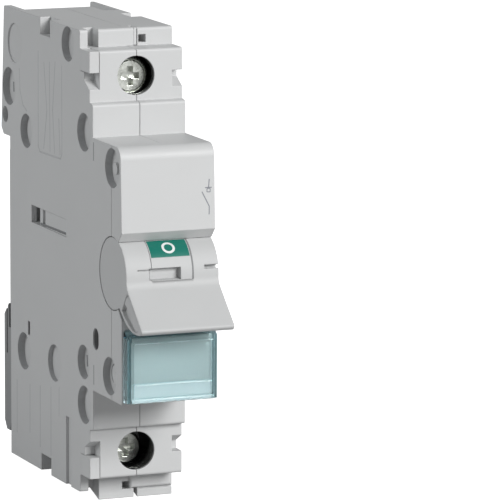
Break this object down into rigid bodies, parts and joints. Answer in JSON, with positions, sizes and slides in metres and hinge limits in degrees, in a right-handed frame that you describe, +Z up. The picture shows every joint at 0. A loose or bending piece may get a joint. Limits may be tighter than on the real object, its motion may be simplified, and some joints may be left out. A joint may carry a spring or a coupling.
{
  "type": "din rail switch disconnector",
  "caption": "Narrow grey switch disconnector for a mounting rail, with a rocking toggle, recessed clamp screws, a clear label flap and a spring-held rail clip.",
  "frame": {"origin": "on the plane that rests against the mounting rail, half way up the rail and half way across the module", "axes": "+X across the module to the right as seen by the user, -Y out towards the user, +Z up when it is mounted"},
  "size_m": [0.0176, 0.0715, 0.0849],
  "materials": {
    "housing_plastic": "finely textured light grey moulding",
    "toggle_plastic": "smooth satin grey moulding",
    "green_flag": "satin",
    "red_flag": "satin",
    "rivet_steel": "nickel plated",
    "carriage_plastic": "glass filled black moulding",
    "copper": "bare copper",
    "silver_tip": "silver alloy",
    "spring_steel": "drawn wire",
    "zinc_steel": "zinc plated",
    "clip_plastic": "dark grey moulding",
    "clear_plastic": "clear, faint blue green tint",
    "label_paper": "blank paper"
  },
  "bodies": {
    "housing": {"left_casing": "housing_plastic", "right_casing": "housing_plastic", "front_plate": "housing_plastic", "label_seat": "housing_plastic", "cover_pin_upper": "housing_plastic", "cover_pin_lower": "housing_plastic", "rivet_rear_mid": "rivet_steel", "rivet_shoulder_high": "rivet_steel", "rivet_rear_low": "rivet_steel", "rivet_shoulder_low": "rivet_steel", "side_tab_upper": "housing_plastic", "side_tab_lower": "housing_plastic", "upper_strip": "copper", "lower_strip": "copper", "fixed_tip_front": "silver_tip", "fixed_tip_rear": "silver_tip", "clip_spring": "spring_steel"},
    "toggle": {"toggle": "toggle_plastic", "toggle_hub": "toggle_plastic", "off_flag": "green_flag", "on_flag": "red_flag", "toggle_axle": "rivet_steel", "crank_pin": "rivet_steel"},
    "carriage": {"contact_carriage": "carriage_plastic", "contact_bridge": "copper", "moving_tip_front": "silver_tip", "moving_tip_rear": "silver_tip", "contact_spring": "spring_steel"},
    "upper_clamp": {"upper_cage": "zinc_steel"},
    "lower_clamp": {"lower_cage": "zinc_steel"},
    "upper_screw": {"upper_screw": "zinc_steel"},
    "lower_screw": {"lower_screw": "zinc_steel"},
    "rail_clip": {"rail_clip": "clip_plastic"},
    "label_holder": {"label_holder": "clear_plastic", "label_card": "label_paper", "label_hinge_pin": "rivet_steel"}
  },
  "joints": [
    {"name": "toggle_swing", "type": "hinge", "parent": "housing", "child": "toggle", "pos_m": [0, -0.0532, 0.0007], "axis": [-1, 0, 0], "range_deg": [0, 73.5]},
    {"name": "carriage_slide", "type": "slide", "parent": "housing", "child": "carriage", "axis": [0, 0, -1], "range_m": [0, 0.00742]},
    {"name": "upper_screw_turn", "type": "hinge", "parent": "housing", "child": "upper_screw", "pos_m": [0, -0.0389, 0.0333], "axis": [0, 1, 0], "range_deg": [0, 2476]},
    {"name": "upper_clamp_slide", "type": "slide", "parent": "housing", "child": "upper_clamp", "axis": [0, -1, 0], "range_m": [0, 0.0055]},
    {"name": "lower_screw_turn", "type": "hinge", "parent": "housing", "child": "lower_screw", "pos_m": [0, -0.0364, -0.0342], "axis": [0, 1, 0], "range_deg": [0, 2476]},
    {"name": "lower_clamp_slide", "type": "slide", "parent": "housing", "child": "lower_clamp", "axis": [0, -1, 0], "range_m": [0, 0.0055]},
    {"name": "rail_clip_slide", "type": "slide", "parent": "housing", "child": "rail_clip", "axis": [0, 0, -1], "range_m": [0, 0.0045], "stiffness_N_per_m": 400, "springref_m": -0.01, "deforming": ["clip_spring"]},
    {"name": "label_holder_swing", "type": "hinge", "parent": "housing", "child": "label_holder", "pos_m": [0, -0.05835, -0.0208], "axis": [1, 0, 0], "range_deg": [0, 90]}
  ],
  "couplings": [
    {"joint": "carriage_slide", "follows": "toggle_swing", "m_per_rad": 0.0057835},
    {"joint": "upper_screw_turn", "follows": "upper_clamp_slide", "rad_per_m": 7854},
    {"joint": "lower_screw_turn", "follows": "lower_clamp_slide", "rad_per_m": 7854}
  ]
}
